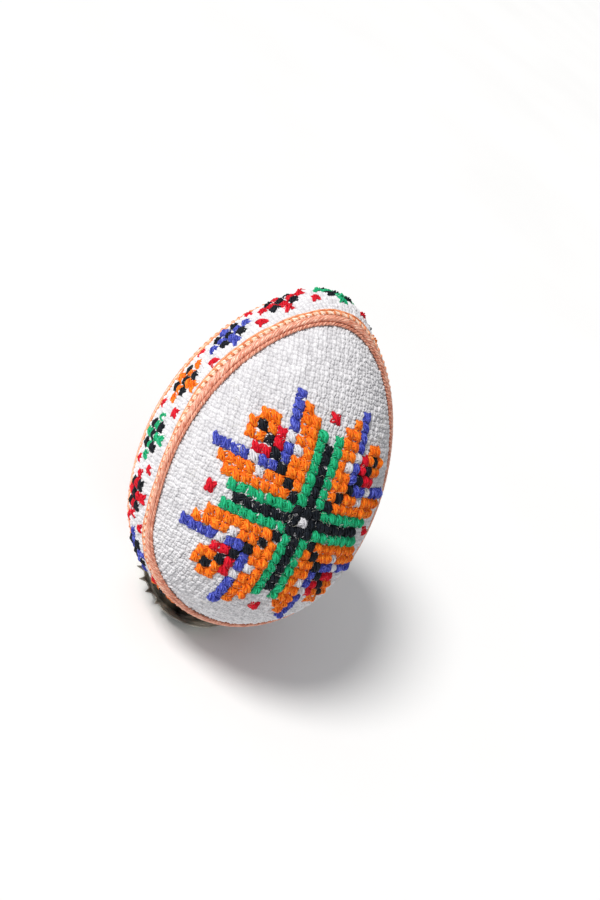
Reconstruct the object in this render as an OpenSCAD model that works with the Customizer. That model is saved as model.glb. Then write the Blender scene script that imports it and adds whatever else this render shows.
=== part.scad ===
// A cross-stitched Easter egg that leans back in a small toothed metal stand.
// Millimetres, +Z up. The origin is the centre of the stand's underside, and the front panel faces -Y.

/* [Egg] */
// Length of the covered egg, from the blunt end to the tip
egg_length = 86; // [84:1:88]
// Width of the covered egg across its edge band
egg_width = 60; // [58:1:62]
// Distance of the widest place from the blunt end
widest_at = 37; // [36:0.5:38]
// Radius of the tip
tip_radius = 14.5; // [13:0.5:15]
// How much flatter the front and the back are than a round egg
flattening = 1.25; // [0.5:0.25:1.5]
// Lean of the egg's axis from upright, towards +Y
lean_angle = 30; // [20:1:32]

/* [Cover] */
// Thickness of the evenweave fabric
fabric_thick = 0.8; // [0.6:0.1:1]
// Distance from the middle of the egg to each seam between a panel and the edge band
seam_at = 10.1; // [9.5:0.1:10.5]
// Width of the braid's narrow rib, on the band side of the seam
narrow_rib_width = 1.8; // [1:0.1:2]
// Height of the braid's narrow rib
narrow_rib_height = 0.8; // [0.7:0.1:1.2]
// Width of the braid's wide rib, on the panel side of the seam
wide_rib_width = 1.7; // [1.6:0.1:2.1]
// Height of the braid's wide rib
wide_rib_height = 1.1; // [1:0.1:1.7]
// Thickness of the thin cord along the panel edge of the braid
cord_thick = 0.6; // [0.5:0.1:0.8]

/* [Embroidery] */
// Width of one cross stitch across the panel
stitch_across = 2.28; // [2.1:0.02:2.4]
// Height of one cross stitch along the panel
stitch_along = 2.46; // [2.3:0.02:2.5]
// How far the stitches stand out of the fabric
stitch_height = 0.6; // [0.4:0.1:0.8]
// Distance of the star's middle from the blunt end
star_at = 36.3; // [35:0.1:37]
// Number of flowers along the edge band
flower_count = 15; // [13:2:15]
// Distance from one flower of the edge band to the next
flower_pitch = 14.75; // [14:0.05:15]

/* [Stand] */
// Radius over the tips of the teeth
tooth_tip_radius = 15.1; // [15:0.1:16]
// Number of teeth
tooth_count = 24; // [20:1:26]
// Height of the toothed rim above the table
rim_height = 4.1; // [3.6:0.1:4.6]
// Radius of the stand's foot
foot_radius = 10.6; // [10.4:0.1:11]
// Thickness of the stand's sheet metal
metal_thick = 0.7; // [0.5:0.1:0.9]
// Outer radius of the ring that the egg rests on
seat_radius = 9.6; // [9:0.1:10]
// Height of the middle of the egg's blunt end sphere above the table
egg_centre_height = 35.2; // [35:0.1:36]

/* [Hidden] */
$fn = 96;
// Clearance between pieces that lie against each other
gap = 0.05;
// How far the core's and the braid's end arcs lie inside their side arc, so that no hair-thin edge is left
arc_step = 0.02;
// Distance of the band's butt joint from the blunt end
seam_from_end = 4;
// Bare fabric between two runs of stitches
thread_gap = 0.12;
// Longer than the egg, for the shapes that cut it
reach = 60;
// Degrees in a radian
rad = 180 / PI;

// The egg's outline is three tangent arcs: blunt end, side and tip
half_width = egg_width / 2;
tip_rise = egg_length - widest_at;
side_radius = (pow(half_width, 2) + pow(tip_rise, 2) - 2 * tip_radius * tip_rise)
    / (2 * (half_width - tip_radius));
blunt_radius = (pow(half_width, 2) + pow(widest_at, 2) - 2 * half_width * side_radius)
    / (2 * (widest_at - side_radius));
side_centre = [half_width - side_radius, widest_at];
blunt_centre = [0, blunt_radius];
tip_centre = [0, egg_length - tip_radius];
// Slopes of the outline where the side arc meets the blunt arc and the tip arc
blunt_angle = asin((widest_at - blunt_radius) / (side_radius - blunt_radius));
tip_angle = asin((tip_centre[1] - widest_at) / (side_radius - tip_radius));
// Lengths of the arcs
tip_arc = tip_radius * (90 - tip_angle) / rad;
side_arc = side_radius * (tip_angle + blunt_angle) / rad;
blunt_side_arc = side_radius * blunt_angle / rad;

WHITE = "whitesmoke";
FOAM = "ghostwhite";
SATIN = "darksalmon";
BLACK = [0.06, 0.07, 0.10];
GREEN = "mediumseagreen";
ORANGE = "darkorange";
RED = "crimson";
BLUE = "royalblue";
METAL = "dimgray";

// Runs of stitches in the arm that points right, as [first column, last column, first row, last row].
// The eightfold runs are mirrored in each arm and the fourfold ones lie on an axis of the star.
BLACK_FOUR = [[1, 7, 0, 0], for (n = [1:7]) [n, n, n, n]];
GREEN_EIGHT = [[2, 8, 1, 1]];
ORANGE_EIGHT = [[3, 9, 2, 2], [4, 5, 3, 3], [7, 10, 3, 3], [7, 8, 6, 6], [8, 8, 7, 7]];
RED_EIGHT = [[6, 7, 5, 5]];
RED_FOUR = [[10, 10, 0, 0]];
BLUE_EIGHT = [[8, 11, 4, 4], [5, 6, 4, 4]];
WHITE_EIGHT = [[6, 6, 3, 3], [7, 7, 4, 4]];
WHITE_ONE = [[0, 0, 0, 0]];
// One flower of the edge band: petals as [first place, last place, first row, last row]
PETALS = [[1, 2, 0, 0], [-2, -1, 0, 0], [0, 0, 1, 2], [0, 0, -2, -1]];
ACCENTS = [[0, 0, 0, 0], [1, 1, 1, 1], [1, 1, -1, -1], [-1, -1, 1, 1], [-1, -1, -1, -1]];
DOTS = [[3, 3, 2, 2], [3, 3, -2, -2]];
band_stitch = flower_pitch / 6;

// ---- the egg's outline and solids, in the egg's own frame: +Z from the blunt end to the tip ----

function along_ray(from, to, far) = from + (to - from) * far / norm(to - from);

module end_sector(centre, radius, corner) {
    intersection() {
        translate(centre) circle(radius);
        polygon([centre, [0, corner], [reach, corner], along_ray(side_centre, centre, 2 * reach)]);
    }
}

module egg_outline(inset, step) {
    end_sector(blunt_centre, blunt_radius - step - inset, -reach);
    end_sector(tip_centre, tip_radius - step - inset, egg_length + reach);
    intersection() {
        translate(side_centre) circle(side_radius - inset);
        polygon([
            blunt_centre, along_ray(side_centre, blunt_centre, 2 * reach),
            along_ray(side_centre, tip_centre, 2 * reach), tip_centre
        ]);
    }
}

module egg_solid(inset, step = 0) {
    rotate_extrude() egg_outline(inset, step);
}

// A layer of the round egg between two insets
module round_layer(outer, inner) {
    difference() {
        egg_solid(outer);
        egg_solid(inner);
    }
}

// A layer of the flatter front, which is the round egg moved back a little
module front_layer(outer, inner) {
    translate([0, flattening, 0]) round_layer(outer, inner);
}

// The part of space between two distances in front of the middle of the egg
module front_slab(near, far) {
    translate([-reach, -far, -reach / 2]) cube([2 * reach, far - near, 3 * reach]);
}

// Puts the egg's own frame into the stand, leaning back
module in_stand() {
    translate([0, 0, egg_centre_height])
        rotate([-lean_angle, 0, 0])
            translate([0, 0, -blunt_radius])
                children();
}

// Turns a piece of the front into its twin on the back
module on_back() {
    rotate([0, 0, 180]) children();
}

// ---- core and cover ----

module foam_core_shape() {
    intersection() {
        translate([0, flattening, 0]) egg_solid(fabric_thick + gap, arc_step);
        translate([0, -flattening, 0]) egg_solid(fabric_thick + gap, arc_step);
    }
}

module panel_shape() {
    intersection() {
        front_layer(0, fabric_thick);
        front_slab(seam_at + gap, reach);
    }
}

module band_shape() {
    intersection() {
        rotate([0, 0, 90]) round_layer(0, fabric_thick);
        translate([-reach, -seam_at, -reach / 2]) cube([2 * reach, 2 * seam_at, 3 * reach]);
    }
}

// Butt joint of the band's two ends, beside the blunt end
module band_seam() {
    translate([seam_from_end, -reach, -1]) cube([2 * gap, 2 * reach, 5]);
}

module braid_shape() {
    difference() {
        union() {
            intersection() {
                egg_solid(-narrow_rib_height, arc_step);
                front_slab(seam_at - narrow_rib_width, seam_at + gap);
            }
            intersection() {
                egg_solid(-wide_rib_height, arc_step);
                front_slab(seam_at, seam_at + wide_rib_width);
            }
        }
        egg_solid(-gap, arc_step);
    }
}

module cord_shape() {
    near = seam_at + wide_rib_width + gap;
    intersection() {
        front_layer(-cord_thick, -gap);
        front_slab(near, near + cord_thick);
    }
}

// ---- embroidery on the panels ----

// Distance along the fabric from the star's middle, turned into a place across and along the egg
function across(u) = half_width * sin(rad * u / half_width);
function above_widest(w) = w > -blunt_side_arc
    ? widest_at + side_radius * sin(rad * w / side_radius)
    : blunt_radius - blunt_radius * sin(blunt_angle + rad * (-w - blunt_side_arc) / blunt_radius);
function along(v) = above_widest(v + star_at - widest_at);

// A run of the arm that points right, mirrored and turned by quarter turns
function turned(run, turns) = turns == 0 ? run
    : turned([-run[3], -run[2], run[0], run[1]], turns - 1);
function mirrored(run) = [run[0], run[1], -run[3], -run[2]];
function fourfold(runs) = [for (run = runs, turns = [0:3]) turned(run, turns)];
function eightfold(runs) = concat(fourfold(runs), fourfold([for (run = runs) mirrored(run)]));

module run_outline(run) {
    left = across((run[0] - 0.5) * stitch_across + thread_gap / 2);
    right = across((run[1] + 0.5) * stitch_across - thread_gap / 2);
    low = along((run[2] - 0.5) * stitch_along + thread_gap / 2);
    high = along((run[3] + 0.5) * stitch_along - thread_gap / 2);
    translate([left, low]) square([right - left, high - low]);
}

module panel_stitches(runs) {
    intersection() {
        front_layer(-stitch_height, -gap);
        rotate([90, 0, 0])
            linear_extrude(reach)
                for (run = runs) run_outline(run);
    }
}

// ---- embroidery on the edge band ----

// Place on the middle line of the band at a distance from the tip: [across, along, slope]
function arc_place(centre, radius, angle) =
    [centre[0] + radius * cos(angle), centre[1] + radius * sin(angle), angle];
function half_line(t) = t < tip_arc ? arc_place(tip_centre, tip_radius, 90 - rad * t / tip_radius)
    : t < tip_arc + side_arc ? arc_place(side_centre, side_radius, tip_angle - rad * (t - tip_arc) / side_radius)
    : arc_place(blunt_centre, blunt_radius, -blunt_angle - rad * (t - tip_arc - side_arc) / blunt_radius);

module band_run(flower, run) {
    middle = flower * flower_pitch + (run[0] + run[1]) / 2 * band_stitch;
    place = half_line(abs(middle));
    size_along = (run[1] - run[0] + 1) * band_stitch - thread_gap;
    size_across = (run[3] - run[2] + 1) * stitch_across - thread_gap;
    mirror([middle > 0 ? 1 : 0, 0, 0])
        translate([place[0], (run[2] + run[3]) / 2 * stitch_across, place[1]])
            rotate([0, -place[2], 0])
                cube([5, size_across, size_along], center = true);
}

module band_stitches(runs, colour_step, steps) {
    half_count = (flower_count - 1) / 2;
    intersection() {
        round_layer(-stitch_height, -gap);
        for (flower = [-half_count:half_count])
            if (((flower % steps) + steps) % steps == colour_step)
                for (run = runs) band_run(flower, run);
    }
}

// ---- pieces, each in its own node ----

module foam_core() { color(FOAM) in_stand() foam_core_shape(); }
module front_panel() { color(WHITE) in_stand() panel_shape(); }
module back_panel() { color(WHITE) in_stand() on_back() panel_shape(); }
module edge_band() {
    color(WHITE) in_stand() difference() {
        band_shape();
        band_seam();
    }
}
module front_braid() { color(SATIN) in_stand() braid_shape(); }
module back_braid() { color(SATIN) in_stand() on_back() braid_shape(); }
module front_cord() { color(SATIN) in_stand() cord_shape(); }
module back_cord() { color(SATIN) in_stand() on_back() cord_shape(); }

module black_star() { color(BLACK) panel_stitches(fourfold(BLACK_FOUR)); }
module green_star() { color(GREEN) panel_stitches(eightfold(GREEN_EIGHT)); }
module orange_star() { color(ORANGE) panel_stitches(eightfold(ORANGE_EIGHT)); }
module red_star() { color(RED) panel_stitches(concat(eightfold(RED_EIGHT), fourfold(RED_FOUR))); }
module blue_star() { color(BLUE) panel_stitches(eightfold(BLUE_EIGHT)); }
module white_star() { color(WHITE) panel_stitches(concat(eightfold(WHITE_EIGHT), WHITE_ONE)); }

module front_black_stitches() { in_stand() black_star(); }
module front_green_stitches() { in_stand() green_star(); }
module front_orange_stitches() { in_stand() orange_star(); }
module front_red_stitches() { in_stand() red_star(); }
module front_blue_stitches() { in_stand() blue_star(); }
module front_white_stitches() { in_stand() white_star(); }
module back_black_stitches() { in_stand() on_back() black_star(); }
module back_green_stitches() { in_stand() on_back() green_star(); }
module back_orange_stitches() { in_stand() on_back() orange_star(); }
module back_red_stitches() { in_stand() on_back() red_star(); }
module back_blue_stitches() { in_stand() on_back() blue_star(); }
module back_white_stitches() { in_stand() on_back() white_star(); }

// The flowers' colours repeat in fours, and the black accents and red dots are the same in each
module band_black_stitches() { color(BLACK) in_stand() band_stitches(ACCENTS, 0, 1); }
module band_green_stitches() { color(GREEN) in_stand() band_stitches(PETALS, 0, 4); }
module band_red_stitches() {
    color(RED) in_stand() {
        band_stitches(PETALS, 1, 4);
        band_stitches(DOTS, 0, 1);
    }
}
module band_blue_stitches() { color(BLUE) in_stand() band_stitches(PETALS, 2, 4); }
module band_orange_stitches() { color(ORANGE) in_stand() band_stitches(PETALS, 3, 4); }

module stand() {
    tooth_step = 360 / tooth_count;
    // The wall leans out by wall_flare, and its lip has no notches along the front
    wall_flare = 2.5;
    plain_side = 285;
    plain_spread = 62;
    scallop_centre = tooth_tip_radius + 0.3;
    scallop_radius = scallop_centre * sin(tooth_step / 2) - gap;
    // The ring's inner top edge is what comes nearest to the braids of the round egg
    seat_clearance = 0.3;
    seat_wall = 1.2;
    rest_radius = blunt_radius + wide_rib_height + seat_clearance;
    seat_height = egg_centre_height - sqrt(pow(rest_radius, 2) - pow(seat_radius - seat_wall, 2));
    color(METAL) {
        difference() {
            rotate_extrude() polygon([
                [0, 0], [foot_radius - 0.5, 0], [foot_radius, 0.5],
                [foot_radius + wall_flare, rim_height - 1], [tooth_tip_radius, rim_height],
                [tooth_tip_radius, rim_height + metal_thick / 2],
                [foot_radius + wall_flare - 0.5, rim_height - 0.3], [foot_radius - metal_thick + 0.4, 1.2],
                [foot_radius - 1.2, metal_thick], [0, metal_thick]
            ]);
            for (tooth = [1:tooth_count])
                if (abs((tooth + 0.5) * tooth_step - plain_side) > plain_spread)
                    rotate([0, 0, (tooth + 0.5) * tooth_step])
                        translate([scallop_centre, 0, -1])
                            cylinder(r = scallop_radius, h = rim_height + 3);
        }
        difference() {
            cylinder(r = seat_radius, h = seat_height);
            translate([0, 0, metal_thick]) cylinder(r = seat_radius - seat_wall, h = seat_height);
        }
    }
}

foam_core();
front_panel();
back_panel();
edge_band();
front_braid();
back_braid();
front_cord();
back_cord();
front_black_stitches();
front_green_stitches();
front_orange_stitches();
front_red_stitches();
front_blue_stitches();
front_white_stitches();
back_black_stitches();
back_green_stitches();
back_orange_stitches();
back_red_stitches();
back_blue_stitches();
back_white_stitches();
band_black_stitches();
band_green_stitches();
band_orange_stitches();
band_red_stitches();
band_blue_stitches();
stand();
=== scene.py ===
"""A cross-stitched Easter egg leaning back in a small toothed metal stand, dressed for a close look.

The egg's own frame has +Z from the blunt end to the tip and the front panel facing -Y, in millimetres.
Shapes are worked out there with the same driving dimensions as the CAD model, then put into the stand.
"""

import math

import bpy
import numpy as np
from mathutils import Matrix, Vector


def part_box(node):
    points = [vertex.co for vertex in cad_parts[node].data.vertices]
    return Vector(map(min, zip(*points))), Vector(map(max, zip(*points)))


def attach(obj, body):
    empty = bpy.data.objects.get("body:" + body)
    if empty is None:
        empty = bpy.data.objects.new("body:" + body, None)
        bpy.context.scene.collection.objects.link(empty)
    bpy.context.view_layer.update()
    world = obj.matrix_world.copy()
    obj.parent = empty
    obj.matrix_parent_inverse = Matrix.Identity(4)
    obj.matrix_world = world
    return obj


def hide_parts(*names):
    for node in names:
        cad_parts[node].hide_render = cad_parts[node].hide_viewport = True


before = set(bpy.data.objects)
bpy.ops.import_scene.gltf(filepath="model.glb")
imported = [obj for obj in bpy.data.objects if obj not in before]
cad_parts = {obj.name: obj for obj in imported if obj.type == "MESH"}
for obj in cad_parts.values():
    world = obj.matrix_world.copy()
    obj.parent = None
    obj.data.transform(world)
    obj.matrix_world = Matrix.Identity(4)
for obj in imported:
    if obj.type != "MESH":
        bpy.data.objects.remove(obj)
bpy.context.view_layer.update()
rng = np.random.default_rng(7)

# ---- driving dimensions, the same as in the CAD model, in millimetres and degrees ----
MM = 0.001
EGG_LENGTH, EGG_WIDTH, WIDEST_AT, TIP_RADIUS = 86.0, 60.0, 37.0, 14.5
FLATTENING, LEAN_ANGLE, CENTRE_HEIGHT = 1.25, 30.0, 35.2
SEAM_AT, STAR_AT = 10.1, 36.3
STITCH_ACROSS, STITCH_ALONG = 2.28, 2.46
FLOWER_COUNT, FLOWER_PITCH = 15, 14.75
TOOTH_COUNT, TOOTH_TIP_RADIUS, RIM_HEIGHT, FOOT_RADIUS, SEAT_RADIUS = 24, 15.1, 4.1, 10.6, 9.6

# The outline is three tangent arcs: blunt end, side and tip
HALF_WIDTH = EGG_WIDTH / 2
TIP_RISE = EGG_LENGTH - WIDEST_AT
SIDE_RADIUS = (HALF_WIDTH**2 + TIP_RISE**2 - 2 * TIP_RADIUS * TIP_RISE) / (2 * (HALF_WIDTH - TIP_RADIUS))
BLUNT_RADIUS = (HALF_WIDTH**2 + WIDEST_AT**2 - 2 * HALF_WIDTH * SIDE_RADIUS) / (2 * (WIDEST_AT - SIDE_RADIUS))
SIDE_CENTRE = HALF_WIDTH - SIDE_RADIUS
BLUNT_ANGLE = math.asin((WIDEST_AT - BLUNT_RADIUS) / (SIDE_RADIUS - BLUNT_RADIUS))
TIP_ANGLE = math.asin((EGG_LENGTH - TIP_RADIUS - WIDEST_AT) / (SIDE_RADIUS - TIP_RADIUS))
TIP_ARC = TIP_RADIUS * (math.pi / 2 - TIP_ANGLE)
SIDE_ARC = SIDE_RADIUS * (TIP_ANGLE + BLUNT_ANGLE)
BLUNT_ARC = BLUNT_RADIUS * (math.pi / 2 - BLUNT_ANGLE)
HALF_ROUND = TIP_ARC + SIDE_ARC + BLUNT_ARC
# Where rays start that look for the surface: about the middle of the egg's length
MIDDLE_HEIGHT = 0.47 * EGG_LENGTH


# ---- the egg's surface ----

def unit(v):
    return v / np.maximum(np.linalg.norm(v, axis=-1, keepdims=True), 1e-12)


def all_round(count):
    """Angles of one full turn in equal steps."""
    return np.linspace(0, 2 * math.pi, count, endpoint=False)


def arc_of(tip, blunt):
    """Centre and radius of the outline's arc at each point: the tip's, the blunt end's or else the side's."""
    middle = np.where(tip | blunt, 0.0, SIDE_CENTRE)
    level = np.where(tip, EGG_LENGTH - TIP_RADIUS, np.where(blunt, BLUNT_RADIUS, WIDEST_AT))
    radius = np.where(tip, TIP_RADIUS, np.where(blunt, BLUNT_RADIUS, SIDE_RADIUS))
    return middle, level, radius


def outside(p, centre_y=0.0):
    """How far points are outside the round egg moved to centre_y, and the outward direction at each."""
    x, y, z = p[..., 0], p[..., 1] - centre_y, p[..., 2]
    rho = np.maximum(np.hypot(x, y), 1e-9)
    slope = np.arctan2(z - WIDEST_AT, rho - SIDE_CENTRE)
    middle, level, radius = arc_of(slope > TIP_ANGLE, slope < -BLUNT_ANGLE)
    out, up = rho - middle, z - level
    far = np.maximum(np.hypot(out, up), 1e-9)
    normal = np.stack([out / far * x / rho, out / far * y / rho, up / far], -1)
    return far - radius, normal


def onto(p, centre_y=0.0):
    """Points moved straight onto the surface, and the outward direction at each."""
    far, normal = outside(p, centre_y)
    p = p - normal * far[..., None]
    return p, outside(p, centre_y)[1]


def in_stand(p):
    """From the egg's own frame in millimetres into the stand, leaning back, in metres."""
    lean = math.radians(LEAN_ANGLE)
    x, y, z = p[..., 0], p[..., 1], p[..., 2] - BLUNT_RADIUS
    away = y * math.cos(lean) + z * math.sin(lean)
    up = CENTRE_HEIGHT - y * math.sin(lean) + z * math.cos(lean)
    return np.stack([x, away, up], -1) * MM


# ---- the front panel's thread grid: equal stitches all over a curved surface ----

GRID_ACROSS, GRID_DOWN, GRID_UP = 17, 18, 22


def next_crossing(a, b, c, across, along):
    """The grid point one stitch from both neighbours a and b, on the far side of them from c."""
    p = a + b - c
    for _ in range(7):
        far, normal = outside(p, FLATTENING)
        matrix = np.stack([2 * (p - a), 2 * (p - b), normal])
        misses = np.array([(p - a) @ (p - a) - across**2, (p - b) @ (p - b) - along**2, far])
        try:
            p = p - np.linalg.solve(matrix, misses)
        except np.linalg.LinAlgError:
            return np.full(3, np.nan)
        if not np.isfinite(p).all() or np.abs(p - a).max() > 9:
            return np.full(3, np.nan)
    good = np.abs(misses).max() < 1e-3 and np.linalg.norm(p - c) > 0.4 * across
    return p if good else np.full(3, np.nan)


def thread_grid():
    """Points one stitch apart by column and row, with the star's middle at column GRID_ACROSS and row
    GRID_DOWN. Points that the curve of the egg leaves no room for are nan."""
    columns, rows = 2 * GRID_ACROSS + 1, GRID_DOWN + GRID_UP + 1
    grid = np.full((columns, rows, 3), np.nan)
    middle = onto(np.array([0.0, -HALF_WIDTH, STAR_AT]), FLATTENING)[0]
    grid[GRID_ACROSS, GRID_DOWN] = middle

    def walk(direction, pitch, count, place):
        p, d = middle, np.array(direction, float)
        for i in range(1, count + 1):
            normal = outside(p, FLATTENING)[1]
            d = unit(d - normal * (d @ normal))
            q = onto(p + d * pitch, FLATTENING)[0]
            for _ in range(3):
                q = onto(p + unit(q - p) * pitch, FLATTENING)[0]
            p, d = q, q - p
            grid[place(i)] = p

    walk((0, 0, 1), STITCH_ALONG, GRID_UP, lambda i: (GRID_ACROSS, GRID_DOWN + i))
    walk((0, 0, -1), STITCH_ALONG, GRID_DOWN, lambda i: (GRID_ACROSS, GRID_DOWN - i))
    walk((1, 0, 0), STITCH_ACROSS, GRID_ACROSS, lambda i: (GRID_ACROSS + i, GRID_DOWN))
    grid[: GRID_ACROSS, GRID_DOWN] = grid[: GRID_ACROSS : -1, GRID_DOWN] * [-1, 1, 1]
    for step, count in ((1, GRID_UP), (-1, GRID_DOWN)):
        for i in range(1, GRID_ACROSS + 1):
            for j in range(1, count + 1):
                column, row = GRID_ACROSS + i, GRID_DOWN + step * j
                a, b = grid[column - 1, row], grid[column, row - step]
                c = grid[column - 1, row - step]
                if np.isfinite(a).all() and np.isfinite(b).all():
                    grid[column, row] = next_crossing(a, b, c, STITCH_ACROSS, STITCH_ALONG)
    grid[: GRID_ACROSS] = grid[: GRID_ACROSS : -1] * [-1, 1, 1]
    return grid


GRID = thread_grid()


def on_panel(u, v, height):
    """Points u stitches across and v stitches up from the star's middle, at a height over the panel, and the
    outward direction at each."""
    u = np.clip(u + GRID_ACROSS, 0, 2 * GRID_ACROSS - 1e-6)
    v = np.clip(v + GRID_DOWN, 0, GRID_DOWN + GRID_UP - 1e-6)
    i, j = u.astype(int), v.astype(int)
    a, b = (u - i)[..., None], (v - j)[..., None]
    lower = GRID[i, j] * (1 - a) + GRID[i + 1, j] * a
    upper = GRID[i, j + 1] * (1 - a) + GRID[i + 1, j + 1] * a
    p, normal = onto(lower * (1 - b) + upper * b, FLATTENING)
    return p + normal * np.asarray(height)[..., None], normal


def on_band(s, t, height):
    """Points s mm round the edge band from the tip, towards -X, and t mm across it, towards +Y, at a height
    over it, and the outward direction at each."""
    side = np.where(s > 0, -1.0, 1.0)
    d = np.minimum(np.abs(s), HALF_ROUND)
    tip, blunt = d < TIP_ARC, d > TIP_ARC + SIDE_ARC
    on_side = TIP_ANGLE - (d - TIP_ARC) / SIDE_RADIUS
    on_blunt = -BLUNT_ANGLE - (d - TIP_ARC - SIDE_ARC) / BLUNT_RADIUS
    slope = np.where(tip, math.pi / 2 - d / TIP_RADIUS, np.where(blunt, on_blunt, on_side))
    middle, level, radius = arc_of(tip, blunt)
    facing = np.stack([side * np.cos(slope), 0 * s, np.sin(slope)], -1)
    p = np.stack([side * (middle + radius * np.cos(slope)), t + 0 * s, level + radius * np.sin(slope)], -1)
    for _ in range(6):
        far, normal = outside(p)
        p = p - facing * (far / np.maximum((facing * normal).sum(-1), 0.2))[..., None]
    normal = outside(p)[1]
    return p + normal * np.asarray(height)[..., None], normal


# ---- meshes ----

def turn_to_back(p):
    return p * [-1, -1, 1]


def add_mesh(name, points, faces, material, thread=None, tone=None):
    """A smooth mesh of points in metres. thread is each point's place along, round and in which thread, and
    tone is how high it lies in the weave, which sets the painted shade in the weave's gaps."""
    mesh = bpy.data.meshes.new(name)
    mesh.from_pydata(points.reshape(-1, 3).tolist(), [], faces)
    mesh.update()
    mesh.polygons.foreach_set("use_smooth", np.ones(len(mesh.polygons), bool))
    if thread is not None:
        layer = mesh.attributes.new("thread", "FLOAT_VECTOR", "POINT")
        layer.data.foreach_set("vector", thread.astype(np.float32).ravel())
    if tone is not None:
        layer = mesh.attributes.new("tone", "FLOAT", "POINT")
        layer.data.foreach_set("value", tone.astype(np.float32).ravel())
    mesh.materials.append(material)
    piece = bpy.data.objects.new(name, mesh)
    bpy.context.collection.objects.link(piece)
    return piece


def dress(piece, body, slot, *nodes):
    """Hangs a piece on its body and hides the CAD nodes that it stands for. slot, its finish, is not used."""
    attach(piece, body)
    if nodes:
        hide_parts(*nodes)


def tubes(paths, ups, wide, high, sides, first, closed=False):
    """Many thread-like tubes at once, with oval sections: points, faces and thread coordinates. Their threads
    are numbered from first, which sets how their shades wander."""
    many, long = paths.shape[:2]
    if closed:
        along = np.roll(paths, -1, axis=1) - np.roll(paths, 1, axis=1)
    else:
        along = np.gradient(paths, axis=1)
    along = unit(along)
    across = unit(np.cross(along, ups))
    ups = np.cross(across, along)
    turn = np.arange(sides) / sides * 2 * math.pi
    points = (
        paths[:, :, None]
        + across[:, :, None] * (wide[..., None] * np.cos(turn))[..., None]
        + ups[:, :, None] * (high[..., None] * np.sin(turn))[..., None]
    )
    steps = np.linalg.norm(np.diff(paths, axis=1), axis=-1)
    distance = np.concatenate([np.zeros((many, 1)), np.cumsum(steps, axis=1)], axis=1)
    ids = first + np.arange(many)[:, None, None] + np.zeros((many, long, sides))
    thread = np.stack([distance[..., None] + 0 * ids, turn / (2 * math.pi) + 0 * ids, ids], -1)
    links = long if closed else long - 1
    m, n, k = np.meshgrid(np.arange(many), np.arange(links), np.arange(sides), indexing="ij")
    after = (n + 1) % long
    nxt = (k + 1) % sides
    quads = np.stack([
        (m * long + n) * sides + k, (m * long + after) * sides + k,
        (m * long + after) * sides + nxt, (m * long + n) * sides + nxt,
    ], -1).reshape(-1, 4).tolist()
    if not closed:
        for tube in range(many):
            start = tube * long * sides
            end = start + (long - 1) * sides
            quads.append([start + side for side in range(sides)])
            quads.append([end + side for side in range(sides)][::-1])
    return points.reshape(-1, 3), quads, thread.reshape(-1, 3)


def join(parts):
    """One set of points, faces and thread coordinates from several."""
    points, faces, threads, start = [], [], [], 0
    for p, f, t in parts:
        points.append(p)
        threads.append(t)
        faces += [[start + i for i in face] for face in f]
        start += len(p)
    return np.concatenate(points), faces, np.concatenate(threads)


# ---- materials ----

def new_material(name, colour, roughness, **settings):
    material = bpy.data.materials.new(name)
    material.use_nodes = True
    material.diffuse_color = (*colour, 1)
    shader = material.node_tree.nodes["Principled BSDF"]
    shader.inputs["Roughness"].default_value = roughness
    for socket, value in settings.items():
        shader.inputs[socket.replace("_", " ")].default_value = value
    return material, shader


def add_node(material, kind, **values):
    node = material.node_tree.nodes.new(kind)
    for key, value in values.items():
        if key in node.inputs:
            node.inputs[key].default_value = value
        else:
            setattr(node, key, value)
    return node


def link(material, a, b):
    material.node_tree.links.new(a, b)


def along_thread(material, scale):
    """Thread coordinates scaled so that a noise along them turns into fibres."""
    source = add_node(material, "ShaderNodeAttribute", attribute_name="thread")
    mapping = add_node(material, "ShaderNodeMapping", Scale=scale)
    link(material, source.outputs["Vector"], mapping.inputs["Vector"])
    return mapping.outputs["Vector"]


def object_place(material):
    """Places on the piece itself, for patterns that don't follow a thread."""
    return add_node(material, "ShaderNodeTexCoord").outputs["Object"]


def ramp(material, value, stops):
    node = add_node(material, "ShaderNodeValToRGB")
    while len(node.color_ramp.elements) < len(stops):
        node.color_ramp.elements.new(0.5)
    for element, (position, colour) in zip(node.color_ramp.elements, stops):
        element.position, element.color = position, (*colour, 1)
    link(material, value, node.inputs["Fac"])
    return node.outputs["Color"]


def bump(material, shader, height, strength, distance):
    node = add_node(material, "ShaderNodeBump", Strength=strength, Distance=distance)
    link(material, height, node.inputs["Height"])
    link(material, node.outputs["Normal"], shader.inputs["Normal"])


COTTON_FIBRES = (1.1, 9.0, 3.7)
SATIN_FIBRES = (0.7, 5.0, 3.7)


def thread_material(name, dark, middle, light, roughness=0.6, gloss=0.18, fibre_scale=COTTON_FIBRES):
    """Stranded thread: fibres run along it, and its shade wanders from stitch to stitch."""
    material, shader = new_material(
        name, middle, roughness, Sheen_Weight=0.06, Sheen_Roughness=0.4, Specular_IOR_Level=gloss
    )
    shader.inputs["Sheen Tint"].default_value = (*light, 1)
    fibres = add_node(material, "ShaderNodeTexNoise", Scale=1.0, Detail=4.0, Roughness=0.65)
    link(material, along_thread(material, fibre_scale), fibres.inputs["Vector"])
    colour = ramp(material, fibres.outputs["Fac"], [(0.38, dark), (0.5, middle), (0.62, light)])
    link(material, colour, shader.inputs["Base Color"])
    bump(material, shader, fibres.outputs["Fac"], 0.55, 0.00012)
    return material


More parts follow.
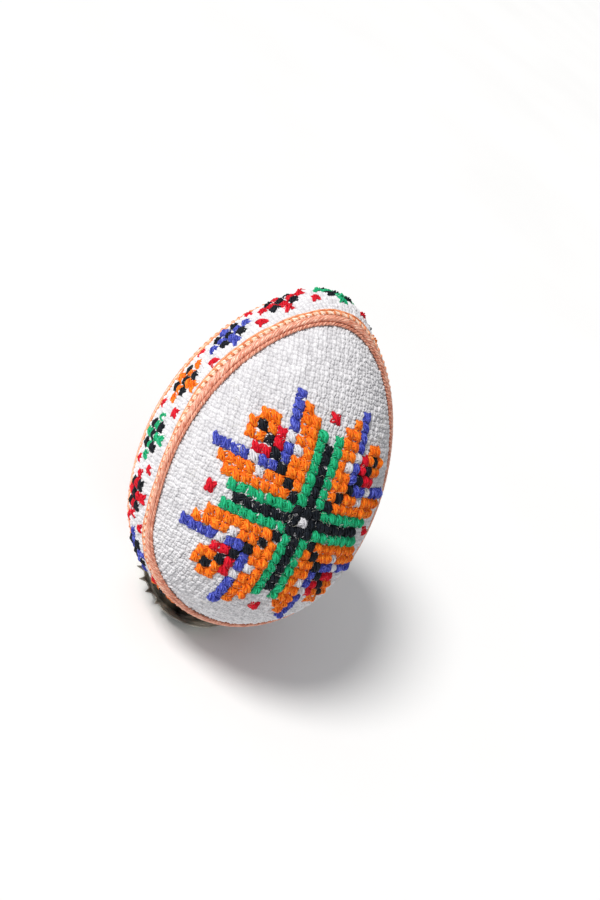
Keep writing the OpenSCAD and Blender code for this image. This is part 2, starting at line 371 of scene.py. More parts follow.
def weave_material():
    """Bleached cotton with fine fibres: bright threads, with painted shade down in the gaps, darker the lower
    the weave lies.
    """
    material, shader = new_material(
        "evenweave_cotton", (0.80, 0.80, 0.82), 0.82,
        Sheen_Weight=0.12, Sheen_Roughness=0.5, Specular_IOR_Level=0.25,
    )
    tone = add_node(material, "ShaderNodeAttribute", attribute_name="tone")
    fibres = add_node(material, "ShaderNodeTexNoise", Scale=2600.0, Detail=3.0, Roughness=0.6)
    link(material, object_place(material), fibres.inputs["Vector"])
    mixed = add_node(material, "ShaderNodeMath", operation="MULTIPLY_ADD")
    mixed.inputs[1].default_value = 0.22
    link(material, fibres.outputs["Fac"], mixed.inputs[0])
    link(material, tone.outputs["Fac"], mixed.inputs[2])
    # The lower a point lies in the weave, the darker it is painted: painted shade in the gaps.
    shades = [(0.14, (0.17, 0.17, 0.19)), (0.46, (0.50, 0.49, 0.51)), (0.85, (0.76, 0.75, 0.77))]
    link(material, ramp(material, mixed.outputs[0], shades), shader.inputs["Base Color"])
    bump(material, shader, fibres.outputs["Fac"], 0.4, 0.00008)
    return material


def metal_material():
    """Dark tarnished steel with worn patches that catch the light."""
    material, shader = new_material("dark_tarnished_metal", (0.36, 0.35, 0.30), 0.45, Metallic=0.4)
    blotches = add_node(material, "ShaderNodeTexNoise", Scale=110.0, Detail=5.0, Roughness=0.6)
    link(material, object_place(material), blotches.inputs["Vector"])
    shades = [(0.37, (0.07, 0.065, 0.058)), (0.5, (0.32, 0.31, 0.26)), (0.61, (0.66, 0.65, 0.55))]
    link(material, ramp(material, blotches.outputs["Fac"], shades), shader.inputs["Base Color"])
    rough = add_node(material, "ShaderNodeMapRange")
    rough.inputs["To Min"].default_value = 0.55
    rough.inputs["To Max"].default_value = 0.25
    link(material, blotches.outputs["Fac"], rough.inputs["Value"])
    link(material, rough.outputs["Result"], shader.inputs["Roughness"])
    bump(material, shader, blotches.outputs["Fac"], 0.15, 0.0001)
    return material


def foam_material():
    material, shader = new_material("expanded_foam", (0.93, 0.93, 0.92), 0.7)
    beads = add_node(material, "ShaderNodeTexVoronoi", Scale=330.0)
    link(material, object_place(material), beads.inputs["Vector"])
    # Darker towards the seams between the beads, where the bump sinks them: painted shade in the seams.
    shades = [(0.0, (0.96, 0.96, 0.95)), (0.8, (0.90, 0.90, 0.89)), (1.0, (0.78, 0.78, 0.77))]
    link(material, ramp(material, beads.outputs["Distance"], shades), shader.inputs["Base Color"])
    bump(material, shader, beads.outputs["Distance"], -0.6, 0.0004)
    return material


WEAVE = weave_material()
METAL = metal_material()
FOAM = foam_material()
# Each colour of thread in shade, in plain light and on its brightest fibres
THREAD_SHADES = {
    "black": ((0.001, 0.0015, 0.003), (0.003, 0.005, 0.009), (0.018, 0.024, 0.036)),
    "green": ((0.003, 0.20, 0.075), (0.008, 0.38, 0.15), (0.03, 0.58, 0.30)),
    "orange": ((0.56, 0.040, 0.001), (0.89, 0.155, 0.003), (1.0, 0.38, 0.03)),
    "red": ((0.32, 0.001, 0.006), (0.62, 0.003, 0.016), (0.86, 0.012, 0.04)),
    "blue": ((0.012, 0.016, 0.17), (0.036, 0.050, 0.38), (0.19, 0.23, 0.80)),
    "white": ((0.50, 0.49, 0.52), (0.68, 0.67, 0.70), (0.84, 0.84, 0.87)),
}
THREADS = {colour: thread_material(colour + "_cotton", *shades) for colour, shades in THREAD_SHADES.items()}
# The braid's twisted cord is a real cord, coloured cream as a painted highlight along the braid.
HIGHLIGHT_RAYON = thread_material(
    "highlight_painted_rayon", (0.80, 0.44, 0.28), (0.93, 0.68, 0.50), (1.0, 0.88, 0.76), 0.32, 0.5, SATIN_FIBRES
)
SATIN = thread_material(
    "salmon_rayon", (0.54, 0.16, 0.09), (0.76, 0.31, 0.20), (0.95, 0.60, 0.45), 0.30, 0.55, SATIN_FIBRES
)
# A darker copy of the salmon rayon, for the thin cord beside the braid.
SATIN_DARK = thread_material(
    "darker_salmon_rayon", (0.42, 0.11, 0.06), (0.66, 0.24, 0.15), (0.90, 0.48, 0.34), 0.38, 0.4, SATIN_FIBRES
)
TWIST = thread_material(
    "orange_twist", (0.50, 0.11, 0.035), (0.82, 0.27, 0.10), (1.0, 0.52, 0.30), 0.4, 0.35, SATIN_FIBRES
)
LINT = thread_material("pale_lint", (0.55, 0.52, 0.40), (0.72, 0.70, 0.58), (0.85, 0.83, 0.74), 0.7, 0.2)


# ---- woven cloth, as a relief of paired threads passing over and under each other ----

SAMPLES = 6
# In millimetres: how far a thread bulges, how far it waves over and under, and where the relief starts
THREAD_SWELL, THREAD_WAVE, CLOTH_TOP = 0.46, 0.30, -0.62
# How uneven the threads and the crossings lie, in millimetres, and how far threads stray, in pairs of threads
THREAD_UNEVEN, CROSSING_UNEVEN, THREAD_STRAY = 0.06, 0.085, 0.16


def pair_profile(s):
    """Height across a pair of threads, 0 in the gap beside it and 1 on each thread's crest."""
    pair = np.sqrt(np.maximum(1 - (2 * s - 1) ** 2, 0)) ** 0.7
    single = np.sqrt(np.maximum(1 - (2 * ((2 * s) % 1) - 1) ** 2, 0))
    return pair * (0.48 + 0.52 * single)


def weave_height(a, b, warp_lift, weft_lift, cross_lift):
    """Relief at a pairs across and b pairs along, from random lifts of each warp, weft and crossing."""
    i, j = np.floor(a + 1e-6).astype(int), np.floor(b + 1e-6).astype(int)
    s, t = np.clip(a - i, 0, 1), np.clip(b - j, 0, 1)
    over = np.where((i + j) % 2 == 0, 1.0, -1.0)
    warp_up = over * np.sin(math.pi * t) * THREAD_WAVE + warp_lift[i]
    weft_up = -over * np.sin(math.pi * s) * THREAD_WAVE + weft_lift[j]
    warp = warp_up + THREAD_SWELL * pair_profile(s)
    weft = weft_up + THREAD_SWELL * pair_profile(t)
    return np.maximum(warp, weft) + cross_lift[i, j]


def wander(count, size):
    """A smooth random walk round zero, for threads that aren't quite evenly spaced."""
    steps = rng.normal(0, 1, count + 6)
    return np.convolve(steps, np.ones(3) / 3, "same")[3 : 3 + count] * size


def cloth(across, along, keep, place, twin=False):
    """Points, faces and tones of woven cloth. across and along count pairs of threads each way; place puts
    pair counts and heights onto the egg, and keep says which points are part of the piece."""
    a, b = np.meshgrid(
        np.arange(across * SAMPLES + 1) / SAMPLES, np.arange(along * SAMPLES + 1) / SAMPLES, indexing="ij"
    )
    columns, rows = across + 2, along + 2
    warp_lift = rng.normal(0, THREAD_UNEVEN, columns)
    weft_lift = rng.normal(0, THREAD_UNEVEN, rows)
    cross_lift = rng.normal(0, CROSSING_UNEVEN, (columns, rows))
    height = weave_height(a, b, warp_lift, weft_lift, cross_lift)
    sway_a, sway_b = wander(columns, THREAD_STRAY), wander(rows, THREAD_STRAY)
    # Slow waves along the threads, out of step with each other
    wave_a = 0.10 * np.sin(b * 1.9 + 2.3 * np.sin(a * 0.7)) + 0.09 * np.sin(b * 4.7 + a * 1.3)
    wave_b = 0.10 * np.sin(a * 2.1 + 2.1 * np.sin(b * 0.6)) + 0.09 * np.sin(a * 4.3 + b * 1.7)
    moved_a = a + np.interp(a, np.arange(columns), sway_a) + wave_a
    moved_b = b + np.interp(b, np.arange(rows), sway_b) + wave_b
    points = place(moved_a, moved_b, height + CLOTH_TOP)
    wanted = keep(points)
    quad = wanted[:-1, :-1] & wanted[1:, :-1] & wanted[1:, 1:] & wanted[:-1, 1:]
    number = np.arange(a.size).reshape(a.shape)
    faces = np.stack([number[:-1, :-1], number[1:, :-1], number[1:, 1:], number[:-1, 1:]], -1)[quad]
    used, faces = np.unique(faces, return_inverse=True)
    faces = faces.reshape(-1, 4)
    tone = (height - height.min()) / (height.max() - height.min())
    points = points.reshape(-1, 3)[used]
    if twin:
        points = turn_to_back(points)
    return points, faces.tolist(), tone.ravel()[used]


# Low on the egg the trim moves over the band between these turns from the tip
SLIP_STARTS, SLIP_ENDS = math.radians(105), math.radians(145)


def from_tip(turn):
    """Turns the shorter way round from the tip, on either side."""
    return np.abs((turn + math.pi) % (2 * math.pi) - math.pi)


def seam_slip(turn):
    """How much of its move the trim has made at a turn from the tip: 0 above, 1 below."""
    share = np.clip((from_tip(turn) - SLIP_STARTS) / (SLIP_ENDS - SLIP_STARTS), 0, 1)
    return share * share * (3 - 2 * share)


def slip_at(points):
    return seam_slip(np.arctan2(points[..., 0], points[..., 2] - MIDDLE_HEIGHT))


# How far past the seam each cloth reaches under the trim, or stops short of it when negative, and how much
# further back the band is cut low on the egg
PANEL_TUCK, BAND_TUCK, BAND_CUT_BACK = -0.1, 0.5, 1.6


def panel_cloth(side):
    """The oval of cloth on one side, two pairs of threads to a stitch each way."""
    def place(a, b, height):
        return on_panel(a / 2 - GRID_ACROSS, b / 2 - GRID_DOWN, height)[0]

    def keep(p):
        return np.isfinite(p).all(-1) & (p[..., 1] < slip_at(p) - SEAM_AT + PANEL_TUCK)

    points, faces, tone = cloth(4 * GRID_ACROSS, 2 * (GRID_DOWN + GRID_UP), keep, place, side == "back")
    piece = add_mesh(side + "_panel_cloth", in_stand(points), faces, WEAVE, tone=tone)
    dress(piece, "egg", "evenweave", side + "_panel")


BAND_PAIRS_ACROSS = 18


def band_cloth():
    """The strip of cloth all round the egg's edge."""
    pairs = 2 * round(HALF_ROUND / (STITCH_ALONG / 2))
    pitch = 2 * HALF_ROUND / pairs

    def place(a, b, height):
        s = np.clip(b * pitch - HALF_ROUND, -HALF_ROUND, HALF_ROUND)
        return on_band(s, (a - BAND_PAIRS_ACROSS / 2) * STITCH_ACROSS / 2, height)[0]

    def keep(p):
        return np.abs(p[..., 1]) < SEAM_AT + BAND_TUCK - BAND_CUT_BACK * slip_at(p)

    points, faces, tone = cloth(BAND_PAIRS_ACROSS, pairs, keep, place)
    piece = add_mesh("edge_band_cloth", in_stand(points), faces, WEAVE, tone=tone)
    dress(piece, "egg", "evenweave", "edge_band")


# ---- cross stitches ----

# The star, as runs of stitches in the arm that points right: first column, last column, first row, last row.
# Eightfold runs are mirrored in each arm, and fourfold ones lie on an axis of the star.
FOURFOLD = {"black": [(1, 7, 0, 0)] + [(n, n, n, n) for n in range(1, 8)], "red": [(10, 10, 0, 0)]}
EIGHTFOLD = {
    "green": [(2, 8, 1, 1)],
    "orange": [(3, 9, 2, 2), (4, 5, 3, 3), (7, 10, 3, 3), (7, 8, 6, 6), (8, 8, 7, 7)],
    "red": [(6, 7, 5, 5)],
    "blue": [(8, 11, 4, 4), (5, 6, 4, 4)],
    "white": [(6, 6, 3, 3), (7, 7, 4, 4)],
}
ONCE = {"white": [(0, 0, 0, 0)]}
# A flower of the edge band: petals and black accents as runs of places along and rows across
PETALS = [(1, 2, 0, 0), (-2, -1, 0, 0), (0, 0, 1, 2), (0, 0, -2, -1)]
ACCENTS = [(0, 0, 0, 0), (1, 1, 1, 1), (1, 1, -1, -1), (-1, -1, 1, 1), (-1, -1, -1, -1)]
DOTS = [(3, 3, 2, 2), (3, 3, -2, -2)]
FLOWER_COLOURS = ["green", "red", "blue", "orange"]
# A stitch of the band is a sixth of a flower's pitch long, and the first flower is just past the tip
BAND_STITCH, FLOWERS_START = FLOWER_PITCH / 6, 0.3


def cells(runs):
    return [(x, y) for x0, x1, y0, y1 in runs for x in range(x0, x1 + 1) for y in range(y0, y1 + 1)]


def star_cells(colour):
    """Middles of the star's stitches of one colour, in stitches across and up from its middle."""
    found = set(cells(ONCE.get(colour, [])))
    arms = cells(FOURFOLD.get(colour, [])) + cells(EIGHTFOLD.get(colour, []))
    arms += [(x, -y) for x, y in cells(EIGHTFOLD.get(colour, []))]
    for x, y in arms:
        for _ in range(4):
            found.add((x, y))
            x, y = -y, x
    return np.array(sorted(found), float)


def band_cells(colour):
    """Middles of the band's stitches of one colour, in mm round and across."""
    found = []
    half = FLOWER_COUNT // 2
    for flower in range(-half, half + 1):
        runs = []
        if FLOWER_COLOURS[flower % len(FLOWER_COLOURS)] == colour:
            runs += PETALS
        if colour == "black":
            runs += ACCENTS
        if colour == "red":
            runs += DOTS
        middle = FLOWERS_START + flower * FLOWER_PITCH
        found += [(middle + x * BAND_STITCH, y * STITCH_ACROSS) for x, y in cells(runs)]
    return np.array(found, float)


# Each leg of a cross stitch is a bundle of strands, with this many rings along a strand and sides round it
RINGS, STRANDS, STRAND_SIDES = 11, 5, 7
# Corners stray by a share of a stitch, and strands wind round their leg by an angle from end to end
CORNER_STRAY, STRAND_WIND, WIND_STRAY = 0.065, 3.0, 0.2
# A leg's spread is a share of a stitch, at its ends and added in its middle
END_SPREAD, MIDDLE_SPREAD = 0.07, 0.175
# In millimetres: how deep the corners go, how high a leg rises, how much more the upper leg rises, how far
# strands lie above and below their leg's middle, and the upper leg's hump where it crosses the lower one
CORNER_DEPTH, LEG_RISE, UPPER_RISE, STRAND_RISE, CROSSING_HUMP = 0.36, 0.50, 0.24, 0.22, 0.14
# In millimetres: a strand's radius at its ends, and what its middle adds
END_THICK, MIDDLE_THICK = 0.13, 0.145
LEGS = [((-0.5, -0.5), (0.5, 0.5)), ((-0.5, 0.5), (0.5, -0.5))]


def stitch_tubes(middles, size, place, first, plump=1.0):
    """Crossed stitches on their middles. Each of the two legs is a puffy thread of a few twisted strands, and
    dips into the cloth at both corners."""
    count = len(middles)
    t = np.linspace(0, 1, RINGS)
    arch = np.sin(math.pi * np.clip(t, 0.004, 0.996))[None] ** 0.65
    hump = np.exp(-((t[None] - 0.5) / 0.16) ** 2)
    parts = []
    for leg, (from_corner, to_corner) in enumerate(LEGS):
        start = middles + np.array(from_corner) * size + rng.normal(0, CORNER_STRAY, (count, 2)) * size
        end = middles + np.array(to_corner) * size + rng.normal(0, CORNER_STRAY, (count, 2)) * size
        line = start[:, None] + (end - start)[:, None] * t[None, :, None]
        direction = unit((end - start) / size)
        side = np.stack([-direction[:, 1], direction[:, 0]], -1)
        puff = plump * rng.normal(1, 0.12, (count, 1))
        for strand in range(STRANDS):
            phase = rng.uniform(-0.5, 0.5, (count, 1)) + 2 * math.pi * strand / STRANDS
            turn = phase + STRAND_WIND * t[None] + rng.normal(0, WIND_STRAY, (count, 1))
            off = np.cos(turn) * (END_SPREAD + MIDDLE_SPREAD * puff * arch)
            route = line + side[:, None] * (off[..., None] * size)
            lift = -CORNER_DEPTH + (LEG_RISE + UPPER_RISE * leg) * arch * puff
            lift = lift + STRAND_RISE * np.sin(turn) * arch + CROSSING_HUMP * leg * hump
            points, normal = place(route[..., 0], route[..., 1], lift)
            thick = (END_THICK + MIDDLE_THICK * arch) * puff * rng.normal(1, 0.16, (count, 1))
            parts.append(tubes(points, normal, thick, thick, STRAND_SIDES, first + len(parts) * 101))
    return join(parts)


def stitches(place_name, colour, points, faces, thread):
    """The piece for the stitches of one colour on one cloth, which is the front, the back or the band."""
    name = f"{place_name}_{colour}"
    piece = add_mesh(name + "_cross_stitches", in_stand(points), faces, THREADS[colour], thread=thread)
    dress(piece, "egg", colour + "_thread", name + "_stitches")


# White thread lies flatter than the colours, and so does the finer thread of the band
WHITE_PLUMP, BAND_PLUMP = 0.85, 0.78


def panel_stitches(side):
    for number, colour in enumerate(THREADS):
        plump = WHITE_PLUMP if colour == "white" else 1.0
        points, faces, thread = stitch_tubes(star_cells(colour), np.ones(2), on_panel, 1000 * number, plump)
        if side == "back":
            points = turn_to_back(points)
        stitches(side, colour, points, faces, thread)


def band_stitches():
    size = np.array([BAND_STITCH, STITCH_ACROSS])
    for number, colour in enumerate(["black", "green", "orange", "red", "blue"]):
        parts = stitch_tubes(band_cells(colour), size, on_band, 9000 + 1000 * number, BAND_PLUMP)
        stitches("band", colour, *parts)


# ---- the braid sewn over each seam, and the thin cord beside it ----

SEAM_POINTS = 1400


def seam_line(depth, centre_y):
    """A closed line of evenly spaced points round the egg, depth(turn) mm in front of its middle, the outward
    direction at each, and the line's length. Turns are counted from the tip."""
    turn = all_round(4 * SEAM_POINTS)
    middle = np.stack([0 * turn, -depth(turn), 0 * turn + MIDDLE_HEIGHT], -1)
    ray = np.stack([np.sin(turn), 0 * turn, np.cos(turn)], -1)
    reach = np.full(turn.shape, 30.0)
    for _ in range(12):
        far, normal = outside(middle + ray * reach[:, None], centre_y)
        reach = reach - far / np.maximum((normal * ray).sum(-1), 0.2)
    line = middle + ray * reach[:, None]
    closed = np.vstack([line, line[:1]])
    distance = np.concatenate([[0], np.cumsum(np.linalg.norm(np.diff(closed, axis=0), axis=1))])
    even = np.linspace(0, distance[-1], SEAM_POINTS, endpoint=False)
    line = np.stack([np.interp(even, distance, closed[:, k]) for k in range(3)], -1)
    return line, outside(line, centre_y)[1], distance[-1]


def rope(line, normal, width, length, first, lift, strands, pitch, half_wide, half_high, thick, hand):
    """Strands wound round a flattened core that runs lift above line, a turn to each pitch. half_wide and
    thick are shares of width, the trim's width at each point."""
    half_wide, thick = half_wide * width, thick * width
    along = unit(np.roll(line, -1, axis=0) - np.roll(line, 1, axis=0))
    across = unit(np.cross(normal, along))
    across = across * np.where(across[:, 1:2] > 0, -1.0, 1.0)
    steps = np.arange(len(line))
    winding = hand * 2 * math.pi * round(length / pitch) * steps / len(line)
    wobble = 1 + 0.05 * np.sin(steps * 0.37) * np.sin(steps * 0.11)
    paths, ups = [], []
    for strand in range(strands):
        a = winding + 2 * math.pi * strand / strands
        out = across * (np.cos(a) * half_wide * wobble)[:, None]
        up = normal * (np.sin(a) * half_high * wobble + lift)[:, None]
        paths.append(line + out + up)
        steep_out, steep_up = np.cos(a) / half_wide, np.sin(a) / half_high
        ups.append(unit(across * steep_out[:, None] + normal * steep_up[:, None]))
    paths, ups = np.array(paths), np.array(ups)
    size = np.full(paths.shape[:2], thick)
    return tubes(paths, ups, size * 1.15, size, 7, first, closed=True)


# Where the trim ends on the band, in millimetres from the seam towards the egg's middle: everywhere, and what
# it adds by the egg's sides, on its shoulders and low down, with the turns from the tip of the first two
OUTER_START, OUTER_SIDES, OUTER_SHOULDERS, OUTER_LOW = 0.8, 0.8, 2.5, 2.4
SIDES_AT, SHOULDERS_AT, SHOULDERS_SPREAD = math.radians(110), math.radians(50), math.radians(30)
# Where it ends on the panel, from the seam outwards: everywhere, what it adds at the tip and loses low down
INNER_START, INNER_TIP, INNER_LOW = 0.95, 0.7, 0.9


def outer_edge(turn):
    """How far in front of the egg's middle the trim ends on the band. It is broadest on the shoulders,
    between the egg's tip and its widest place."""
    turn = from_tip(turn)
    sides = np.clip(turn / SIDES_AT, 0, 1) ** 2
    shoulders = np.exp(-(((turn - SHOULDERS_AT) / SHOULDERS_SPREAD) ** 2))
    start = SEAM_AT - OUTER_START
    return start - OUTER_SIDES * sides - OUTER_SHOULDERS * shoulders - OUTER_LOW * seam_slip(turn)


def inner_edge(turn):
    """How far in front of the egg's middle the trim ends on the panel."""
    return SEAM_AT + INNER_START + INNER_TIP * np.cos(turn / 2) ** 8 - INNER_LOW * seam_slip(turn)


# The trim's ropes: name, material, node, and how far across the trim they lie, from the band. lift, pitch and
# half_high are in millimetres, half_wide and thick are shares of the trim's width, and hand is their winding.
ROPES = [
    ("braid_outer_line", TWIST, "braid", 0.06,
     dict(lift=0.16, strands=1, pitch=9.0, half_wide=0.012, half_high=0.05, thick=0.066, hand=1)),
    # This twisted cord's cream colour is a painted highlight.
    ("braid_highlight_twist", HIGHLIGHT_RAYON, "braid", 0.25,
     dict(lift=0.30, strands=2, pitch=3.5, half_wide=0.055, half_high=0.16, thick=0.066, hand=-1)),
    ("braid_wide_rib", SATIN, "braid", 0.565,
     dict(lift=0.32, strands=7, pitch=8.0, half_wide=0.13, half_high=0.44, thick=0.066, hand=1)),
    ("edge_cord", SATIN_DARK, "cord", 0.875,
     dict(lift=0.30, strands=2, pitch=2.1, half_wide=0.05, half_high=0.14, thick=0.060, hand=1)),
]


def trim(side):
    """The plaited braid and the cord beside it, side by side on a slope from the band down to the panel."""
    outer, outer_normal, length = seam_line(outer_edge, 0.0)
    inner, inner_normal, _ = seam_line(inner_edge, FLATTENING)
    width = np.linalg.norm(inner - outer, axis=1)

    def piece(name, material, node, points, faces, thread):
        if side == "back":
            points = turn_to_back(points)
        made = add_mesh(f"{side}_{name}", in_stand(points), faces, material, thread=thread)
        dress(made, "egg", "satin_" + node, f"{side}_{node}")

    for number, (name, material, node, share, shape) in enumerate(ROPES):
        line = outer + share * (inner - outer)
        normal = unit(outer_normal + share * (inner_normal - outer_normal))
        piece(name, material, node, *rope(line, normal, width, length, 100 * (number + 1), **shape))
    piece("braid_tacking", TWIST, "braid", *tacking(outer, inner, outer_normal, width, length))


# The tacking: how far apart its stitches are and half their length, in millimetres, how far across the trim
# they lie, from the band, and half their slant and their thickness as shares of the trim's width
TACK_PITCH, TACK_HALF_LENGTH, TACK_AT, TACK_SLANT, TACK_THICK = 1.75, 0.26, 0.30, 0.07, 0.05


def tacking(outer, inner, normal, width, length):
    """Small slanting stitches that hold the braid down along its twisted cord, whose cream colour is a
    painted highlight.
    """
    count = round(length / TACK_PITCH)
    picks = (np.arange(count) * len(outer) / count).astype(int)
    along = unit(np.roll(outer, -1, axis=0) - np.roll(outer, 1, axis=0))[picks]
    across = unit(inner - outer)[picks]
    middle = (outer + TACK_AT * (inner - outer))[picks]
    normal, width = normal[picks], width[picks]
    t = np.linspace(-1, 1, 7)
    arch = np.sqrt(1 - 0.96 * t**2)
    stray = rng.normal(0, 0.06, (count, 1, 1))
    lift = 0.16 + (0.075 * width)[:, None, None] + 0.20 * arch[None, :, None]
    paths = (
        middle[:, None]
        + along[:, None] * (TACK_HALF_LENGTH * t[None, :, None] + stray)
        + across[:, None] * (TACK_SLANT * width[:, None] * t[None])[..., None]
        + normal[:, None] * lift
    )
    ups = np.repeat(normal[:, None], len(t), axis=1)
    thick = TACK_THICK * width[:, None] * (0.4 + arch)[None]
    return tubes(paths, ups, thick, thick, 6, 500)


# ---- foam core ----

# In millimetres: how far the core stays under the outline, and how deep its beads show
UNDER_COVER, BEAD_DEPTH = 1.0, 0.05


def foam_core():
    """The core that the cover is stretched over: a smaller, slightly flattened egg of foam beads."""
    rings, sides = 96, 128
    polar = np.linspace(0.0, math.pi, rings)[:, None]
    turn = all_round(sides)[None, :]
    level = np.cos(polar) + 0 * turn
    ray = np.stack([np.sin(polar) * np.cos(turn), np.sin(polar) * np.sin(turn), level], -1)
    middle = np.array([0, 0, MIDDLE_HEIGHT])
    reach = np.full(ray.shape[:2], 25.0)
    for _ in range(14):
        p = middle + ray * reach[..., None]
        far = np.maximum(outside(p, FLATTENING)[0], outside(p, -FLATTENING)[0]) + UNDER_COVER
        reach = reach - far * 0.9
    dimple = BEAD_DEPTH * np.sin(ray[..., 0] * 71) * np.sin(ray[..., 1] * 67) * np.sin(ray[..., 2] * 73)
    points = middle + ray * (reach + dimple)[..., None]
    number = np.arange(rings * sides).reshape(rings, sides)
    after = np.roll(number, -1, axis=1)
    faces = np.stack([number[1:-2], number[2:-1], after[2:-1], after[1:-2]], -1).reshape(-1, 4).tolist()
    top, bottom = int(number[0, 0]), int(number[-1, 0])
    faces += [[top, int(a), int(b)] for a, b in zip(number[1], after[1])]
    faces += [[bottom, int(b), int(a)] for a, b in zip(number[-2], after[-2])]
    # Only one point of each pole is used, so the others are left out
    used, packed = np.unique(np.concatenate([np.array(f) for f in faces]), return_inverse=True)
    sizes = np.cumsum([len(f) for f in faces])[:-1]
    faces = [part.tolist() for part in np.split(packed, sizes)]
    piece = add_mesh("foam_core_ball", in_stand(points.reshape(-1, 3)[used]), faces, FOAM)
    dress(piece, "egg", "foam", "foam_core")


# ---- stand ----

# The lip is notched at the back and the sides, and plain within this many degrees of its front
PLAIN_SIDE, PLAIN_SPREAD = 285, 62
# In millimetres: how much further the teeth reach than the plain lip, how deep the notches are cut, how much
# they sag, and how deep the flare is fluted
TOOTH_REACH, NOTCH_DEPTH, NOTCH_SAG, FLUTE_DEPTH = 0.45, 2.1, 0.12, 0.05
# Where the lip begins, out from the foot's edge and up, and how far it ends inside the CAD stand's rim
LIP_OUT, LIP_UP, RIM_CLEARANCE = 2.6, 3.5, 0.05
SHEET_THICK, ROUNDED_EDGE, FOOT_UP = 0.35, 0.06, 0.55


def ring(radius, turn, height):
    """Points round the stand's middle."""
    return np.stack([radius * np.cos(turn), radius * np.sin(turn), height + 0 * turn], -1)


def stand():
    """A stamped dish with a flared, toothed rim, and the ring inside it that the egg rests on."""
    per_tooth = 14
    sides = TOOTH_COUNT * per_tooth
    turn = all_round(sides)
    tooth_shape = (1 - np.abs(np.sin(turn * TOOTH_COUNT / 2))) ** 1.9
    facing_front = np.cos(turn - math.radians(PLAIN_SIDE)) - math.cos(math.radians(PLAIN_SPREAD))
    plain = np.clip(facing_front * 6, 0, 1)
    notch = (1 - tooth_shape) * (1 - plain)
    rim_radius = TOOTH_TIP_RADIUS - RIM_CLEARANCE + TOOTH_REACH * (1 - plain) - NOTCH_DEPTH * notch
    # The dish's section from inside the foot to the lip: out from the foot's edge, and up
    flare = [(-3.0, FOOT_UP), (-1.2, 0.5), (-0.45, 0.28), (0.0, 0.55), (0.7, 1.2), (1.5, 2.1), (2.2, 3.0)]
    rings = []
    for out, height in flare:
        fluted = 1 if out > 0 else 0
        flute = FLUTE_DEPTH * max(0.0, (height - 0.6) / 2.2) * np.cos(turn * TOOTH_COUNT) * fluted
        rings.append(ring(FOOT_RADIUS + out + flute, turn, height))
    start = FOOT_RADIUS + LIP_OUT
    for share in (0.3, 0.55, 0.8, 1.0):
        curl = share + 0.25 * share * (1 - share)
        height = LIP_UP + (RIM_HEIGHT - LIP_UP) * curl - NOTCH_SAG * notch * share
        rings.append(ring(start + (rim_radius - start) * share, turn, height))
    outer = np.array(rings)
    number = 1 + np.arange(outer.shape[0] * sides).reshape(outer.shape[0], sides)
    after = np.roll(number, -1, axis=1)
    faces = np.stack([number[:-1], after[:-1], after[1:], number[1:]], -1).reshape(-1, 4).tolist()
    faces += [[0, int(b), int(a)] for a, b in zip(number[0], after[0])]
    points = np.vstack([[[0, 0, FOOT_UP]], outer.reshape(-1, 3)]) * MM
    dish = add_mesh("stand_toothed_dish", points, faces, METAL)
    thick = dish.modifiers.new("sheet", "SOLIDIFY")
    thick.thickness = SHEET_THICK * MM
    thick.offset = 0.0
    rounded = dish.modifiers.new("rounded edges", "BEVEL")
    rounded.width = ROUNDED_EDGE * MM
    rounded.segments = 2
    rounded.limit_method = "ANGLE"
    dress(dish, "stand", "dark_metal", "stand")
    dress(seat_ring(), "stand", "dark_metal", "stand")


def seat_ring():
    """The ring that the egg rests on, as high as the CAD stand."""
    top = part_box("stand")[1].z / MM
    # In from the ring's outer radius, and up
    profile = [
        (1.0, 0.7), (1.0, top - 0.6), (0.75, top - 0.18), (0.45, top - 0.03), (0.15, top - 0.12),
        (0.0, top - 0.5), (0.0, 0.7),
    ]
    sides = 192
    points = np.array([ring(SEAT_RADIUS - inwards, all_round(sides), height) for inwards, height in profile])
    number = np.arange(len(profile) * sides).reshape(len(profile), sides)
    after = np.roll(number, -1, axis=1)
    below, below_after = np.roll(number, -1, axis=0), np.roll(after, -1, axis=0)
    faces = np.stack([number, below, below_after, after], -1).reshape(-1, 4).tolist()
    return add_mesh("stand_seat_ring", points * MM, faces, METAL)


# ---- loose fibres ----

# Fibres near the star's middle, and fibres anywhere on the panel, whose places are in stitches
NEAR_FIBRES, FAR_FIBRES, NEAR_SPREAD, FAR_REACH, TOP_REACH = 70, 80, 4.2, 13, 16
FIBRE_LIFT, FIBRE_RADIUS = 0.42, 0.022


def lint(side):
    """Fine stray fibres caught on the embroidery."""
    count, rings = NEAR_FIBRES + FAR_FIBRES, 9
    t = np.linspace(0, 1, rings)
    near = rng.normal(0, NEAR_SPREAD, (NEAR_FIBRES, 2))
    start = np.concatenate([near, rng.uniform(-FAR_REACH, FAR_REACH, (FAR_FIBRES, 2))])
    start[:, 1] = np.clip(start[:, 1], -FAR_REACH, TOP_REACH)
    heading = rng.uniform(0, 2 * math.pi, (count, 1)) + rng.normal(0, 1.1, (count, 1)) * t * 2
    step = rng.uniform(0.06, 0.17, (count, 1))
    u = start[:, :1] + np.cumsum(np.cos(heading) * step, axis=1)
    v = start[:, 1:] + np.cumsum(np.sin(heading) * step, axis=1)
    loops = rng.uniform(0.0, 0.35, (count, 1)) * np.sin(math.pi * t)[None]
    lift = FIBRE_LIFT + loops + rng.normal(0, 0.05, (count, rings))
    points, normal = on_panel(u, v, lift)
    clear_of_trim = points[..., 1].max(1) < -SEAM_AT - 3
    good = np.isfinite(points).all((1, 2)) & clear_of_trim
    thick = np.full((int(good.sum()), rings), FIBRE_RADIUS)
    points, faces, thread = tubes(points[good], normal[good], thick, thick, 4, 500)
    if side == "back":
        points = turn_to_back(points)
    piece = add_mesh(side + "_lint", in_stand(points), faces, LINT, thread=thread)
    dress(piece, "egg", "white_thread")


# ---- floor, light and camera ----

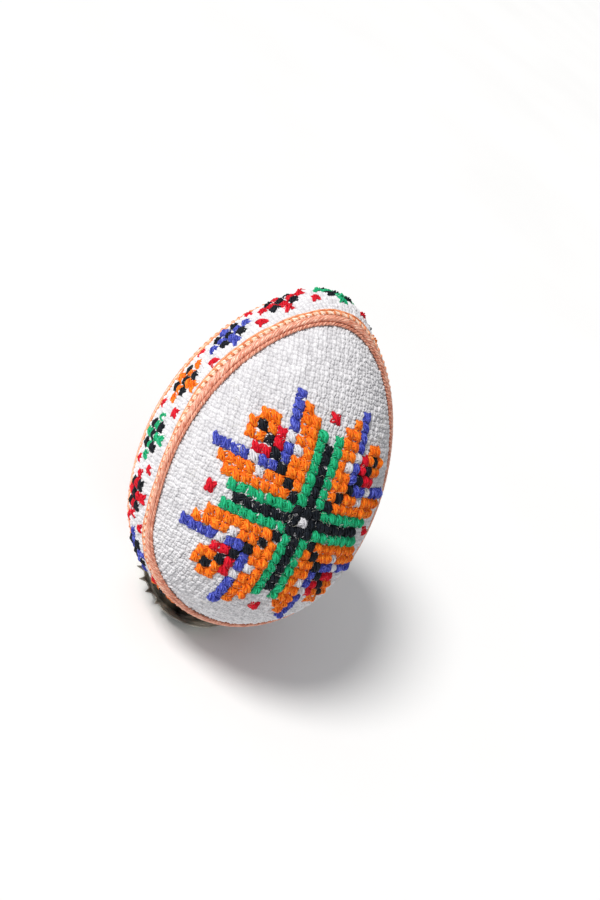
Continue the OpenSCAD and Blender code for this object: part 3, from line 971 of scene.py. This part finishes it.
def floor():
    """The white paper that the stand is on, in metres."""
    mesh = bpy.data.meshes.new("floor")
    half = 2.5
    corners = [(-half, -half, 0), (half, -half, 0), (half, half, 0), (-half, half, 0)]
    mesh.from_pydata(corners, [], [(0, 1, 2, 3)])
    material, shader = new_material("pale_floor", (0.9, 0.9, 0.9), 0.85)
    tint = add_node(material, "ShaderNodeTexNoise", Scale=9.0, Detail=2.0)
    link(material, object_place(material), tint.inputs["Vector"])
    shades = [(0.3, (0.88, 0.88, 0.88)), (0.7, (0.91, 0.91, 0.91))]
    link(material, ramp(material, tint.outputs["Fac"], shades), shader.inputs["Base Color"])
    mesh.materials.append(material)
    piece = bpy.data.objects.new("floor", mesh)
    bpy.context.collection.objects.link(piece)


SUN_FROM, SUN_STRENGTH, SUN_SOFTNESS, SUN_COLOUR = (-0.65, 0.02, 0.80), 2.8, 18, (1.0, 0.985, 0.96)
SKY_LEFT, SKY_RIGHT, SKY_COLOUR = 0.74, 0.20, (0.97, 0.98, 1.0, 1)


def sun():
    """One light from far away on the left, wide enough to give its shadows soft edges."""
    data = bpy.data.lights.new("key", "SUN")
    data.energy, data.angle, data.color = SUN_STRENGTH, math.radians(SUN_SOFTNESS), SUN_COLOUR
    light = bpy.data.objects.new("key", data)
    light.rotation_euler = Vector(SUN_FROM).to_track_quat("Z", "Y").to_euler()
    bpy.context.collection.objects.link(light)


def lights():
    """Soft daylight from the left and above, under a sky that is darker towards the right."""
    world = bpy.data.worlds.new("studio")
    world.use_nodes = True
    nodes, links = world.node_tree.nodes, world.node_tree.links
    background = nodes["Background"]
    place, axes = nodes.new("ShaderNodeTexCoord"), nodes.new("ShaderNodeSeparateXYZ")
    links.new(place.outputs["Generated"], axes.inputs["Vector"])
    side = nodes.new("ShaderNodeMapRange")
    side.inputs["From Min"].default_value, side.inputs["From Max"].default_value = -1.0, 1.0
    side.inputs["To Min"].default_value, side.inputs["To Max"].default_value = SKY_LEFT, SKY_RIGHT
    links.new(axes.outputs["X"], side.inputs["Value"])
    links.new(side.outputs["Result"], background.inputs["Strength"])
    background.inputs["Color"].default_value = SKY_COLOUR
    bpy.context.scene.world = world
    bpy.context.scene.view_settings.view_transform = "Standard"
    sun()


# The camera's place in metres, which ways its picture's right and top point, and its lens in millimetres
CAMERA_AT = (-0.1087, -0.1649, 0.1926)
CAMERA_RIGHT = (0.842, -0.136, 0.522)
CAMERA_UP = (-0.283, 0.712, 0.642)
FOCAL_LENGTH, SENSOR_HEIGHT = 40.4, 36.0


def camera():
    right = Vector(CAMERA_RIGHT).normalized()
    back = right.cross(Vector(CAMERA_UP)).normalized()
    up = back.cross(right)
    data = bpy.data.cameras.new("camera")
    data.sensor_fit, data.sensor_height, data.lens = "VERTICAL", SENSOR_HEIGHT, FOCAL_LENGTH
    data.clip_start = 0.005
    made = bpy.data.objects.new("camera", data)
    axes = Matrix((right, up, back)).transposed().to_4x4()
    made.matrix_world = Matrix.Translation(CAMERA_AT) @ axes
    bpy.context.collection.objects.link(made)
    bpy.context.scene.camera = made


# ---- the whole model ----

camera()
lights()
floor()
foam_core()
for panel_side in ("front", "back"):
    panel_cloth(panel_side)
    panel_stitches(panel_side)
    trim(panel_side)
    lint(panel_side)
band_cloth()
band_stitches()
stand()
